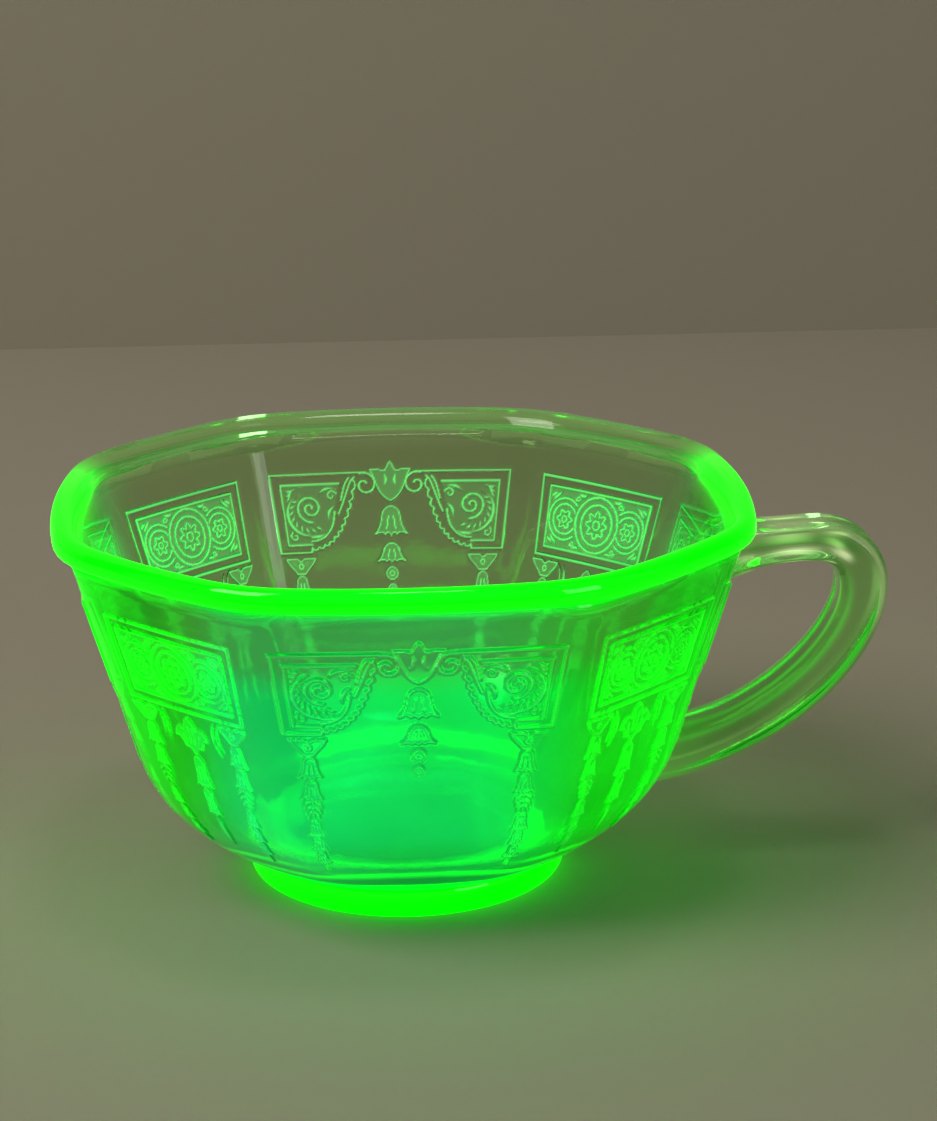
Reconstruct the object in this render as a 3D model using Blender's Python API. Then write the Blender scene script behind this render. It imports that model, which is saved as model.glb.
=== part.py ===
"""Octagonal pressed-glass teacup: bowl, foot ring and loop handle.

+Z is up and +X points at the handle. The origin is the centre of the footprint's bounding box,
on the surface that the cup stands on. Driving dimensions are in millimetres.
"""
import math

import bmesh
import bpy
from mathutils import Vector

MM = 0.001
GAP = 0.3                    # clearance between neighbouring solids

# Rim and wall of the bowl. An apothem is the distance from the bowl's axis to a broad side.
CUP_HEIGHT = 54.2
RIM_APOTHEM = 47.5
RIM_BEAD_HEIGHT = 3.3
RIM_BEAD_SECTION = (         # inset from the bead's widest point, and height as a share of the bead's
    (0.5, 0.08), (0.0, 0.27), (0.1, 0.64), (0.7, 0.92), (1.7, 1.0), (3.2, 0.88), (4.2, 0.52))
WALL_TOP_APOTHEM = 45.0
WALL_BEND_HEIGHT = 22.0      # the straight flare starts here
WALL_BEND_APOTHEM = 36.9
OUTER_BEND = ((28.9, 6.9), (33.6, 11.8))      # apothem and height of the outer curve's handles
INNER_BEND = ((31.8, 13.4), (27.4, 8.4))      # and of the inner curve's, from the top down
WALL_THICKNESS = 2.6
BROAD_HALF_SIDE = 0.487      # half a broad side's length, as a share of the apothem
CORNER_RADIUS = 7.0
RIM_CORNER_RADIUS = 15.0
RIM_ROUNDNESS = 0.46         # 0 is a straight-sided octagon, 1 is a circle
WALL_ROUNDNESS = 0.25
FLOOR_TOP = 7.0
FLOOR_RADIUS = 20.5

# Foot ring
FOOT_HEIGHT = 3.8
FOOT_OUTER_RADIUS = 22.3
FOOT_INNER_RADIUS = 17.4
FOOT_EDGE_RADIUS = 0.9
FOOT_DRAFT = 0.3             # how far the ring's sides lean in towards its base
BASE_INSET = 0.4             # from the ring's outer radius to the edge of the bowl's underside
FOOT_SEGMENTS = 64
EDGE_STEPS = 3

# Handle: its centreline lies in the XZ plane, as distance from the bowl's axis and height.
HANDLE_WIDTH = 8.6
HANDLE_REACH = 67.3
HANDLE_BEND_THICKNESS = 6.8
HANDLE_ARM_THICKNESS = 4.7
HANDLE_TOP_ROOT_THICKNESS = 7.2
HANDLE_LOW_ROOT_THICKNESS = 7.6
HANDLE_BEND_CENTRE = HANDLE_REACH - HANDLE_BEND_THICKNESS / 2
HANDLE_CURVES = (
    ((42.5, 43.6), (47.0, 44.9), (52.0, 45.6), (57.0, 45.6)),
    ((57.0, 45.6), (61.4, 45.6), (HANDLE_BEND_CENTRE, 43.0), (HANDLE_BEND_CENTRE, 39.0)),
    ((HANDLE_BEND_CENTRE, 39.0), (HANDLE_BEND_CENTRE, 30.0), (51.2, 16.7), (34.5, 14.9)),
)
HANDLE_STEPS = (7, 9, 20)    # stations along each of the three curves
HANDLE_SECTION_POINTS = 20
HANDLE_SQUARENESS = 3.2      # exponent of the superellipse section
CUTTER_RIM_POINTS = 5        # points of the rim bead, up to its top, that the roots are trimmed to

# The bowl's axis, so that the whole cup's bounding box is centred on the origin.
AXIS_X = (RIM_APOTHEM - HANDLE_REACH) / 2

GLASS_COLOUR = (0.09, 0.62, 0.10, 1.0)
GLASS_ROUGHNESS = 0.06

# Facets of the bowl's curves
BROAD_SEGMENTS = 4
NARROW_SEGMENTS = 2
CORNER_SEGMENTS = 3
BEND_STEPS = 8


def clear_scene():
    for obj in list(bpy.data.objects):
        bpy.data.objects.remove(obj, do_unlink=True)


def glass_material(name):
    material = bpy.data.materials.new(name)
    material.use_nodes = True
    shader = material.node_tree.nodes["Principled BSDF"]
    shader.inputs["Base Color"].default_value = GLASS_COLOUR
    shader.inputs["Roughness"].default_value = GLASS_ROUGHNESS
    shader.inputs["Metallic"].default_value = 0.0
    return material


def bezier(points, t):
    """Point at t on a cubic curve, whatever the dimension of its control points."""
    s = 1.0 - t
    weights = (s * s * s, 3 * s * s * t, 3 * s * t * t, t * t * t)
    return tuple(sum(w * p[i] for w, p in zip(weights, points)) for i in range(len(points[0])))


def octagon(apothem, roundness, corner_radius):
    """Corner-rounded octagon with four broad and four narrow sides, counter-clockwise.

    The broad sides face +X, +Y, -X and -Y. Roundness pulls every point towards a circle.
    """
    radius = min(corner_radius, 0.5 * apothem)
    inset = apothem - radius
    half_broad = BROAD_HALF_SIDE * apothem - radius * math.tan(math.pi / 8)
    diagonal = math.sqrt(0.5) * radius
    quarter = []
    for i in range(BROAD_SEGMENTS):
        quarter.append((apothem, half_broad * (2 * i / BROAD_SEGMENTS - 1)))
    for i in range(CORNER_SEGMENTS):
        angle = math.pi / 4 * i / CORNER_SEGMENTS
        quarter.append((inset + radius * math.cos(angle), half_broad + radius * math.sin(angle)))
    start = (inset + diagonal, half_broad + diagonal)
    for i in range(NARROW_SEGMENTS):
        share = i / NARROW_SEGMENTS
        quarter.append((start[0] + (start[1] - start[0]) * share,
                        start[1] + (start[0] - start[1]) * share))
    for i in range(CORNER_SEGMENTS):
        angle = math.pi / 4 * (1 + i / CORNER_SEGMENTS)
        quarter.append((half_broad + radius * math.cos(angle), inset + radius * math.sin(angle)))
    points = []
    for turn in range(4):
        cos_turn, sin_turn = (1, 0, -1, 0)[turn], (0, 1, 0, -1)[turn]
        for x, y in quarter:
            pull = 1 - roundness + roundness * apothem / math.hypot(x, y)
            points.append(((x * cos_turn - y * sin_turn) * pull, (x * sin_turn + y * cos_turn) * pull))
    return points


def ring_at(apothem, height, roundness, corner_radius):
    return [Vector((AXIS_X + x, y, height)) * MM for x, y in octagon(apothem, roundness, corner_radius)]


def wall_rings(profile):
    return [ring_at(a, z, wall_roundness(z), CORNER_RADIUS) for a, z in profile]


def rim_rings(profile):
    return [ring_at(a, z, RIM_ROUNDNESS, RIM_CORNER_RADIUS) for a, z in profile]


def wall_roundness(height):
    """Round at the foot, nearly flat-sided from a third of the way up."""
    share = max(0.0, min(1.0, (height - FOOT_HEIGHT) / (WALL_BEND_HEIGHT - FOOT_HEIGHT)))
    return WALL_ROUNDNESS + (1 - WALL_ROUNDNESS) * (1 - share) ** 2


def outer_wall():
    """Apothem and height up the outside, from the foot ring to the underside of the rim bead."""
    curve = ((FOOT_OUTER_RADIUS - BASE_INSET, FOOT_HEIGHT + GAP), *OUTER_BEND,
             (WALL_BEND_APOTHEM, WALL_BEND_HEIGHT))
    levels = [bezier(curve, i / BEND_STEPS) for i in range(BEND_STEPS + 1)]
    top = CUP_HEIGHT - RIM_BEAD_HEIGHT
    for share in (0.33, 0.66, 1.0):
        levels.append((WALL_BEND_APOTHEM + (WALL_TOP_APOTHEM - WALL_BEND_APOTHEM) * share,
                       WALL_BEND_HEIGHT + (top - WALL_BEND_HEIGHT) * share))
    return levels


def rim_bead():
    """Apothem and height round the bead, from its lower outer edge to its inner edge."""
    low = CUP_HEIGHT - RIM_BEAD_HEIGHT
    return [(RIM_APOTHEM - inset, low + RIM_BEAD_HEIGHT * share) for inset, share in RIM_BEAD_SECTION]


def inner_wall():
    """Apothem and height down the inside, to the edge of the flat floor."""
    levels = []
    top = CUP_HEIGHT - RIM_BEAD_HEIGHT
    for share in (1.0, 0.5, 0.0):
        levels.append((WALL_BEND_APOTHEM - WALL_THICKNESS
                       + (WALL_TOP_APOTHEM - WALL_BEND_APOTHEM) * share,
                       WALL_BEND_HEIGHT + (top - WALL_BEND_HEIGHT) * share))
    curve = (levels[-1], *INNER_BEND, (FLOOR_RADIUS, FLOOR_TOP))
    levels.extend(bezier(curve, i / BEND_STEPS) for i in range(1, BEND_STEPS + 1))
    return levels


def loft(name, rings, closed=False):
    """Skin a list of equally long point rings; the ends are capped unless the loft is closed."""
    bm = bmesh.new()
    loops = [[bm.verts.new(point) for point in ring] for ring in rings]
    pairs = list(zip(loops, loops[1:]))
    if closed:
        pairs.append((loops[-1], loops[0]))
    else:
        bm.faces.new(loops[0])
        bm.faces.new(loops[-1])
    for low, high in pairs:
        for i in range(len(low)):
            j = (i + 1) % len(low)
            bm.faces.new((low[i], low[j], high[j], high[i]))
    bmesh.ops.recalc_face_normals(bm, faces=bm.faces)
    mesh = bpy.data.meshes.new(name)
    bm.to_mesh(mesh)
    bm.free()
    mesh.shade_smooth()
    mesh.set_sharp_from_angle(angle=math.radians(40))
    obj = bpy.data.objects.new(name, mesh)
    bpy.context.scene.collection.objects.link(obj)
    return obj


def make_bowl(material):
    bowl = loft("bowl", wall_rings(outer_wall()) + rim_rings(rim_bead()) + wall_rings(inner_wall()))
    bowl.data.materials.append(material)
    return bowl


def make_foot_ring(material):
    edge = FOOT_EDGE_RADIUS
    section = [(FOOT_OUTER_RADIUS, FOOT_HEIGHT)]
    for centre, direction in ((FOOT_OUTER_RADIUS - FOOT_DRAFT - edge, 1), (FOOT_INNER_RADIUS + edge, -1)):
        arc = []
        for i in range(EDGE_STEPS + 1):
            angle = math.pi / 2 * i / EDGE_STEPS
            arc.append((centre + direction * edge * math.cos(angle), edge - edge * math.sin(angle)))
        section.extend(arc[::direction])
    section.append((FOOT_INNER_RADIUS - FOOT_DRAFT, FOOT_HEIGHT))
    rings = []
    for radius, height in section:
        ring = []
        for i in range(FOOT_SEGMENTS):
            angle = 2 * math.pi * i / FOOT_SEGMENTS
            ring.append(Vector((AXIS_X + radius * math.cos(angle),
                                radius * math.sin(angle), height)) * MM)
        rings.append(ring)
    foot = loft("foot_ring", rings, closed=True)
    foot.data.materials.append(material)
    return foot


def handle_stations():
    """Centreline points with the distance covered so far, as a share of the whole."""
    points = []
    for curve, steps in zip(HANDLE_CURVES, HANDLE_STEPS):
        points.extend(bezier(curve, i / steps) for i in range(steps))
    points.append(HANDLE_CURVES[-1][-1])
    lengths = [0.0]
    for a, b in zip(points, points[1:]):
        lengths.append(lengths[-1] + math.dist(a, b))
    return points, [length / lengths[-1] for length in lengths]


def handle_thickness(share):
    """Thick where the handle leaves the wall, thin along the top arm, thick in the bend and sweep."""
    stops = ((0.0, HANDLE_TOP_ROOT_THICKNESS), (0.17, HANDLE_ARM_THICKNESS),
             (0.38, HANDLE_BEND_THICKNESS), (0.8, HANDLE_BEND_THICKNESS),
             (1.0, HANDLE_LOW_ROOT_THICKNESS))
    for (a, thick_a), (b, thick_b) in zip(stops, stops[1:]):
        if share <= b:
            blend = 0.5 - 0.5 * math.cos(math.pi * (share - a) / (b - a))
            return thick_a + (thick_b - thick_a) * blend
    return HANDLE_LOW_ROOT_THICKNESS


def make_wall_cutter():
    """Solid of the bowl's outside, one gap larger, that trims the handle's two roots."""
    wall = [(a + GAP, z) for a, z in outer_wall()]
    rim = [(a + GAP, z) for a, z in rim_bead()[:CUTTER_RIM_POINTS]]
    cutter = loft("wall_cutter", wall_rings(wall) + rim_rings(rim))
    cutter.hide_render = True
    cutter.display_type = 'WIRE'
    return cutter


def make_handle(material):
    points, shares = handle_stations()
    rings = []
    for index, ((x, z), share) in enumerate(zip(points, shares)):
        before = points[max(index - 1, 0)]
        after = points[min(index + 1, len(points) - 1)]
        length = math.dist(before, after)
        across = ((before[1] - after[1]) / length, (after[0] - before[0]) / length)
        half = handle_thickness(share) / 2
        ring = []
        for i in range(HANDLE_SECTION_POINTS):
            angle = 2 * math.pi * i / HANDLE_SECTION_POINTS
            cosine, sine = math.cos(angle), math.sin(angle)
            side = math.copysign(abs(cosine) ** (2 / HANDLE_SQUARENESS), cosine) * HANDLE_WIDTH / 2
            out = math.copysign(abs(sine) ** (2 / HANDLE_SQUARENESS), sine) * half
            ring.append(Vector((AXIS_X + x + across[0] * out, side, z + across[1] * out)) * MM)
        rings.append(ring)
    handle = loft("handle", rings)
    handle.data.materials.append(material)
    cut = handle.modifiers.new("trim_to_wall", 'BOOLEAN')
    cut.operation = 'DIFFERENCE'
    cut.object = make_wall_cutter()
    return handle


def build():
    clear_scene()
    make_bowl(glass_material("bowl_glass"))
    make_foot_ring(glass_material("foot_glass"))
    make_handle(glass_material("handle_glass"))


build()
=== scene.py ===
"""Uranium-glass teacup: pressed relief, thick rim, foot ring and ribbed handle, glowing green.

Every length below is in millimetres unless it ends in _M. The frame gives all places and sizes.
"""
import math

import bmesh
import bpy
import numpy as np
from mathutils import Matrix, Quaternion, Vector


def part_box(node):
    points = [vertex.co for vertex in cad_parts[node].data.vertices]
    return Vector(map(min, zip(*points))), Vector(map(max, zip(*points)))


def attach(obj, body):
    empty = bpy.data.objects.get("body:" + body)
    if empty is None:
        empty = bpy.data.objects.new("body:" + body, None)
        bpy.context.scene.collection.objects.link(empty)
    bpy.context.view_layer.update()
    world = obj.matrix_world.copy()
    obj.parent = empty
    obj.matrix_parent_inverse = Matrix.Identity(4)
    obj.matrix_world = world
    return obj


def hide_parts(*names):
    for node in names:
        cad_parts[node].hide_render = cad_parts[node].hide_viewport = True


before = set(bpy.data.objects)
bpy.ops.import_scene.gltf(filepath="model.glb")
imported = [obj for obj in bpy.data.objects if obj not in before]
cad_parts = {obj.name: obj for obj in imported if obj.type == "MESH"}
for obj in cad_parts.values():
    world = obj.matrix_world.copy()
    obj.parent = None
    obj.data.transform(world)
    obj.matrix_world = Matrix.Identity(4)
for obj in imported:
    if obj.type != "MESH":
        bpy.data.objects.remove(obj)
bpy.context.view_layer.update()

MM = 0.001


def box_mm(node):
    low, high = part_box(node)
    return np.array(low) / MM, np.array(high) / MM


BOWL_LOW, BOWL_HIGH = box_mm("bowl")
FOOT_LOW, FOOT_HIGH = box_mm("foot_ring")
HANDLE_LOW, HANDLE_HIGH = box_mm("handle")

# Main sizes, read from the frame
AXIS_X = (BOWL_LOW[0] + BOWL_HIGH[0]) / 2
CUP_HEIGHT = BOWL_HIGH[2]
RIM_APOTHEM = (BOWL_HIGH[1] - BOWL_LOW[1]) / 2
FOOT_RADIUS = (FOOT_HIGH[1] - FOOT_LOW[1]) / 2
FOOT_HEIGHT = FOOT_HIGH[2]
BASE_HEIGHT = BOWL_LOW[2]
HANDLE_REACH = HANDLE_HIGH[0] - AXIS_X
HANDLE_WIDTH = HANDLE_HIGH[1] - HANDLE_LOW[1]

# Bowl section
RIM_BEAD_HEIGHT = 3.3
WALL_TOP_APOTHEM = RIM_APOTHEM - 2.5
EDGE_APOTHEM = WALL_TOP_APOTHEM - 1.7
WALL_BEND_APOTHEM = 36.9
WALL_BEND_HEIGHT = 22.0
WALL_THICKNESS = 2.6
FLOOR_TOP = 7.0
FLOOR_DIP = 0.15
FLOOR_RADIUS = 20.5
BROAD_HALF_SIDE = 0.487
CORNER_RADIUS = 7.0
RIM_CORNER_RADIUS = 15.0
RIM_ROUNDNESS = 0.46
WALL_ROUNDNESS = 0.25

# Surface grid: cells of the finest size along a broad side, a corner, a narrow side and down the wall
BROAD_CELLS = 192
CORNER_CELLS = 32
NARROW_CELLS = 128
DOWN_CELLS = 288
CELL_SIZES = (1, 2, 4, 8)
COARSEST = CELL_SIZES[-1]
RELIEF_TOLERANCE = 0.006

# Cosine and sine of the turns that carry the first quarter of the bowl to all four
QUARTER_TURNS = ((1, 0), (0, 1), (-1, 0), (0, -1))

# Relief, in panel coordinates: u is the distance from the panel's middle line where the panel is
# widest, v the distance down the wall from the underside of the rim bead.
BROAD_HALF_WIDTH = 18.0
NARROW_HALF_WIDTH = 12.7
SPANDREL_SHRINK = 0.965
LINE = 0.24
RAISE = 0.34

# The painted glow: it is painted as if an ultraviolet lamp stood in front of the cup, to the left and a
# little above. Each pair gives two heights: a change starts at the first and is complete at the second.
LAMP_DIRECTION = (-0.60, -0.72, 0.34)
DIM_GLOW_BAND_LEVELS = (38, 44)
RIM_LEVELS = (50.4, 52.0)
RIM_HIGHLIGHT_LEVELS = (50.2, 50.9)
CREST_SHARES = (0.6, 0.95)
INSIDE_BEND_TOP = 16
FLOOR_EDGE_RADIUS = 24.3


# ---------------------------------------------------------------- curves

def bezier(points, steps):
    t = np.linspace(0, 1, steps + 1)[:, None]
    p = np.array(points, dtype=float)
    return (1 - t) ** 3 * p[0] + 3 * (1 - t) ** 2 * t * p[1] + 3 * (1 - t) * t ** 2 * p[2] + t ** 3 * p[3]


def arc(centre, radius, start, end, steps=24):
    """Points on a circle; angles in degrees, 0 to the right and 90 downwards."""
    angle = np.radians(np.linspace(start, end, steps + 1))
    return np.column_stack([centre[0] + radius * np.cos(angle), centre[1] + radius * np.sin(angle)])


def spiral(centre, radius, inner, start, end, steps=60):
    """A scroll whose radius shrinks evenly from radius to inner."""
    share = np.linspace(0, 1, steps + 1)
    angle = np.radians(start + (end - start) * share)
    r = radius + (inner - radius) * share
    return np.column_stack([centre[0] + r * np.cos(angle), centre[1] + r * np.sin(angle)])


def segment_distance(u, v, a, b):
    along = b - a
    share = ((u - a[0]) * along[0] + (v - a[1]) * along[1]) / max(along @ along, 1e-12)
    share = np.clip(share, 0, 1)
    return np.hypot(u - a[0] - share * along[0], v - a[1] - share * along[1])


class Relief:
    """Height of the pressed ornament over one panel, built up from strokes and raised shapes."""

    def __init__(self, u, v):
        self.u = u
        self.v = v
        self.height = np.zeros_like(u)
        self.field = np.zeros_like(u)

    def window(self, points, margin):
        low = points.min(axis=0) - margin
        high = points.max(axis=0) + margin
        mask = (self.u > low[0]) & (self.u < high[0]) & (self.v > low[1]) & (self.v < high[1])
        return np.nonzero(mask)

    def distance(self, points, where):
        u, v = self.u[where], self.v[where]
        nearest = np.full(u.shape, 1e9)
        for a, b in zip(points, points[1:]):
            nearest = np.minimum(nearest, segment_distance(u, v, a, b))
        return nearest

    def stroke(self, points, width=LINE, raise_by=RAISE):
        """A raised line with a rounded back."""
        points = np.asarray(points, dtype=float)
        where = self.window(points, width)
        profile = np.clip(1 - (self.distance(points, where) / width) ** 2, 0, 1)
        self.height[where] = np.maximum(self.height[where], raise_by * profile ** 0.8)

    def tapered(self, points, width=0.32, tip=0.12, raise_by=RAISE):
        """A leaf-like stroke that swells in its middle and thins to both ends."""
        points = np.asarray(points, dtype=float)
        where = self.window(points, width)
        u, v = self.u[where], self.v[where]
        best = np.zeros(u.shape)
        count = len(points) - 1
        for i, (a, b) in enumerate(zip(points, points[1:])):
            swell = math.sin(math.pi * (i + 0.5) / count)
            local = tip + (width - tip) * swell
            profile = np.clip(1 - (segment_distance(u, v, a, b) / local) ** 2, 0, 1)
            best = np.maximum(best, profile ** 0.8 * (0.55 + 0.45 * swell))
        self.height[where] = np.maximum(self.height[where], raise_by * best)

    def inside(self, closed, where):
        u, v = self.u[where], self.v[where]
        inside = np.zeros(u.shape, dtype=bool)
        for a, b in zip(closed, closed[1:]):
            crosses = (a[1] > v) != (b[1] > v)
            rise = b[1] - a[1] if abs(b[1] - a[1]) > 1e-9 else 1e-9
            inside ^= crosses & (u < a[0] + (v - a[1]) * (b[0] - a[0]) / rise)
        return inside

    def shape(self, outline, raise_by=0.16, slope=0.22):
        """A raised area with sloping sides, and a fine bead along its edge."""
        outline = np.asarray(outline, dtype=float)
        closed = np.vstack([outline, outline[:1]])
        where = self.window(closed, slope)
        inside = self.inside(closed, where)
        distance = self.distance(closed, where)
        signed = np.where(inside, distance, -distance)
        plateau = raise_by * np.clip((signed + slope / 2) / slope, 0, 1)
        self.height[where] = np.maximum(self.height[where], plateau)
        self.field[where] = np.maximum(self.field[where], 0.8 * inside)
        self.stroke(closed, width=LINE * 0.85, raise_by=RAISE * 0.9)

    def fill(self, outline, share):
        """The finely stippled ground inside a frame, which scatters more light than the plain wall; it is
        drawn only as brighter painted glow.
        """
        closed = np.vstack([outline, outline[:1]])
        where = self.window(closed, 0.0)
        self.field[where] = np.maximum(self.field[where], share * self.inside(closed, where))


# ---------------------------------------------------------------- ornament

def mirrored(centre, half):
    """Both halves of a symmetrical outline, from its right half listed top to bottom."""
    half = np.asarray(half, dtype=float)
    left = half[::-1] * (-1, 1)
    return np.vstack([half, left]) + centre


def bellflower(relief, centre, width, height):
    """A hanging bell with three lobes and two veins; centre is the middle of its top."""
    right = np.vstack([
        arc((0, width * 0.28), width * 0.28, -90, -10, 8),
        bezier(((width * 0.28, height * 0.30), (width * 0.32, height * 0.62),
                (width * 0.36, height * 0.80), (width * 0.52, height)), 8),
        bezier(((width * 0.50, height), (width * 0.38, height * 0.90),
                (width * 0.26, height * 0.88), (width * 0.20, height * 1.02)), 5),
        bezier(((width * 0.18, height), (width * 0.12, height * 0.90),
                (width * 0.06, height * 0.90), (0, height * 1.06)), 5)])
    relief.shape(mirrored(centre, right))
    for side in (-1, 1):
        vein = np.array([(side * width * 0.08, height * 0.34), (side * width * 0.14, height * 0.80)])
        relief.tapered(vein + centre, width=0.18)


def tulip(relief, centre, width, height):
    """An open flower with a pointed middle petal and two flared side petals; centre is its tip."""
    right = np.vstack([
        bezier(((0, 0), (width * 0.06, height * 0.04), (width * 0.07, height * 0.20),
                (width * 0.17, height * 0.24)), 6),
        bezier(((width * 0.17, height * 0.24), (width * 0.30, height * 0.17),
                (width * 0.40, height * 0.20), (width * 0.50, height * 0.20)), 6),
        bezier(((width * 0.50, height * 0.20), (width * 0.36, height * 0.40),
                (width * 0.36, height * 0.86), (0, height)), 14)])
    relief.shape(mirrored(centre, right))
    for side in (-1, 1):
        fold = bezier(((side * width * 0.17, height * 0.26), (side * width * 0.07, height * 0.40),
                       (side * width * 0.10, height * 0.52), (side * width * 0.16, height * 0.66)), 8)
        relief.tapered(fold + centre, width=0.22)


def bead(relief, centre, radius):
    relief.shape(arc(centre, radius - 0.1, 0, 345, 23))
    relief.stroke(arc(centre, radius * 0.35, 0, 360, 12), width=0.2, raise_by=0.3)


def capital(relief, centre, width, height):
    """The small bracket that a hanging drop starts from: a wavy top edge over a tapering body."""
    right = np.vstack([
        bezier(((0, height * 0.20), (width * 0.08, height * 0.20), (width * 0.08, 0),
                (width * 0.20, height * 0.02)), 6),
        bezier(((width * 0.20, height * 0.02), (width * 0.34, height * 0.14),
                (width * 0.40, 0), (width * 0.50, height * 0.02)), 6),
        bezier(((width * 0.50, height * 0.06), (width * 0.40, height * 0.50),
                (width * 0.26, height * 0.60), (width * 0.14, height)), 8)])
    relief.shape(mirrored(centre, right))
    relief.stroke(arc((centre[0], centre[1] + height * 0.52), height * 0.15, 0, 360, 12), width=0.18)


def leaf_bunch(relief, centre, width, height):
    """Three pairs of leaves that curl up from a stem."""
    for side in (-1, 1):
        for lift, reach in ((0.0, 0.5), (0.3, 0.42), (0.58, 0.3)):
            tip = (side * width * reach, height * (lift + 0.42))
            blade = bezier(((0, height * lift), (side * width * 0.12, height * (lift + 0.02)),
                            (side * width * reach, height * (lift + 0.12)), tip), 8)
            relief.tapered(blade + centre, width=0.3)
    relief.tapered(np.array([(0, 0), (0, height * 0.5), (0, height)]) + centre, width=0.22)


def hanging_drop(relief, u, top, bottom, width, lean=0.0):
    """A chain of bellflowers and leaves that gets narrower as it hangs, and leans outwards."""
    upright = relief.u
    relief.u = upright - lean * np.clip((relief.v - top) / (bottom - top), 0, 1)
    length = bottom - top
    capital(relief, (u, top), width * 1.5, length * 0.105)
    stops = (0.12, 0.275, 0.42, 0.56, 0.69, 0.81, 0.93)
    for index, (start, end) in enumerate(zip(stops, stops[1:])):
        size = width * (1 - 0.45 * start)
        place = (u, top + length * start)
        height = length * (end - start) * 0.88
        if index == 2:
            leaf_bunch(relief, place, size * 1.05, height)
        else:
            bellflower(relief, place, size, height)
    relief.tapered([(u, top + length * 0.93), (u, top + length * 0.965), (u, bottom)], width=0.4)
    relief.u = upright


def scallops(points, depth, count):
    """A wavy copy of a curve, for the leafy edge of a spandrel."""
    points = np.asarray(points)
    share = np.linspace(0, 1, len(points))
    tangent = np.gradient(points, axis=0)
    tangent /= np.linalg.norm(tangent, axis=1)[:, None]
    normal = np.column_stack([-tangent[:, 1], tangent[:, 0]])
    return points + normal * (depth * np.abs(np.sin(math.pi * count * share)))[:, None]


def spandrel(relief):
    """Corner field of a broad panel: double frame, scalloped curve, volute and leafy scroll."""
    edge = bezier(((5.5, 7.4), (7.0, 13.6), (8.6, 17.2), (12.8, 17.4)), 60)
    relief.stroke([(4.7, 6.2), (18.0, 6.2), (18.0, 18.1), (12.9, 18.1)], width=0.26)
    relief.stroke([(12.8, 17.4), (12.9, 18.1)])
    relief.stroke(scallops(edge, 0.45, 11), width=0.22)
    relief.stroke(spiral((3.85, 8.1), 1.9, 0.35, -68, -68 - 430, 46), width=0.26)
    relief.stroke(bezier(((5.4, 6.9), (6.3, 7.6), (6.6, 9.6), (8.1, 12.4)), 18))
    relief.stroke(bezier(((6.2, 7.0), (7.0, 7.9), (7.1, 8.8), (7.6, 10.4)), 14))
    relief.stroke([(7.7, 7.8), (16.5, 7.8), (16.5, 16.9), (12.7, 16.9)])
    inner_edge = bezier(((8.7, 12.0), (8.9, 14.6), (10.2, 16.4), (12.7, 16.4)), 24)
    relief.stroke(inner_edge)
    relief.fill(np.vstack([[(12.7, 16.9), (16.5, 16.9), (16.5, 7.8), (7.7, 7.8)], inner_edge]), 0.45)
    # main scroll with its stem and lobes
    relief.stroke(spiral((12.4, 11.4), 2.15, 0.2, 95, 95 - 640, 70), width=0.27)
    relief.tapered(arc((12.7, 12.3), 3.25, -72, 118, 34), width=0.42, tip=0.16)
    for angle in range(-50, 111, 20):
        lean = math.radians(angle)
        root = np.array((12.6 + 2.35 * math.cos(lean), 12.0 + 2.35 * math.sin(lean)))
        tip = np.array((12.7 + 3.1 * math.cos(lean + 0.28), 12.2 + 3.1 * math.sin(lean + 0.28)))
        relief.tapered(np.linspace(root, tip, 4), width=0.24)
    # small curls and leaves that fill the field's corners
    relief.stroke(spiral((9.0, 9.6), 0.8, 0.15, 200, 560, 26), width=0.2)
    relief.stroke(spiral((15.2, 15.6), 0.75, 0.12, 300, 660, 26), width=0.2)
    relief.tapered(bezier(((8.3, 8.5), (9.4, 8.3), (10.4, 8.6), (10.9, 9.3)), 8))
    relief.tapered(bezier(((8.6, 11.2), (9.3, 11.4), (9.8, 12.2), (9.7, 13.4)), 8))
    relief.tapered(bezier(((10.2, 15.2), (11.2, 15.9), (12.4, 15.9), (13.4, 15.6)), 8))
    for shift in (0.0, 0.75, 1.5):
        relief.tapered(bezier(((14.3 + shift * 0.5, 8.4), (15.0, 8.6 + shift * 0.3),
                               (15.6, 9.0 + shift * 0.6), (15.9, 8.6 + shift * 1.2)), 8), width=0.22)


def broad_panel(u, v):
    relief = Relief(np.abs(u), v)
    relief.u = relief.u * SPANDREL_SHRINK
    spandrel(relief)
    relief.u = np.abs(u)
    tulip(relief, np.array((0.0, 4.7)), 6.2, 5.9)
    bellflower(relief, np.array((0.0, 11.5)), 5.1, 4.2)
    bellflower(relief, np.array((0.0, 17.1)), 4.5, 2.7)
    bead(relief, (0.0, 21.7), 1.05)
    bead(relief, (0.0, 24.1), 0.85)
    hanging_drop(relief, 15.4, 18.9, 42.0, 3.3, lean=1.8)
    return np.stack([relief.height, relief.field])


def rosette(relief, centre, radius, petals):
    """A wavy ring of petals round a small circle."""
    angle = np.linspace(0, 2 * math.pi, 16 * petals + 1)
    r = radius * (0.82 + 0.18 * np.cos(petals * angle))
    relief.stroke(np.column_stack([centre[0] + r * np.cos(angle), centre[1] + r * np.sin(angle)]),
                  width=0.2)
    relief.stroke(arc(centre, radius * 0.32, 0, 360, 16), width=0.2)


def medallion(relief, centre, radius, petals):
    relief.stroke(arc(centre, radius, 0, 360, 64), width=0.22)
    relief.stroke(arc(centre, radius * 0.73, 0, 360, 48), width=0.22)
    rosette(relief, centre, radius * 0.5, petals)


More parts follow.
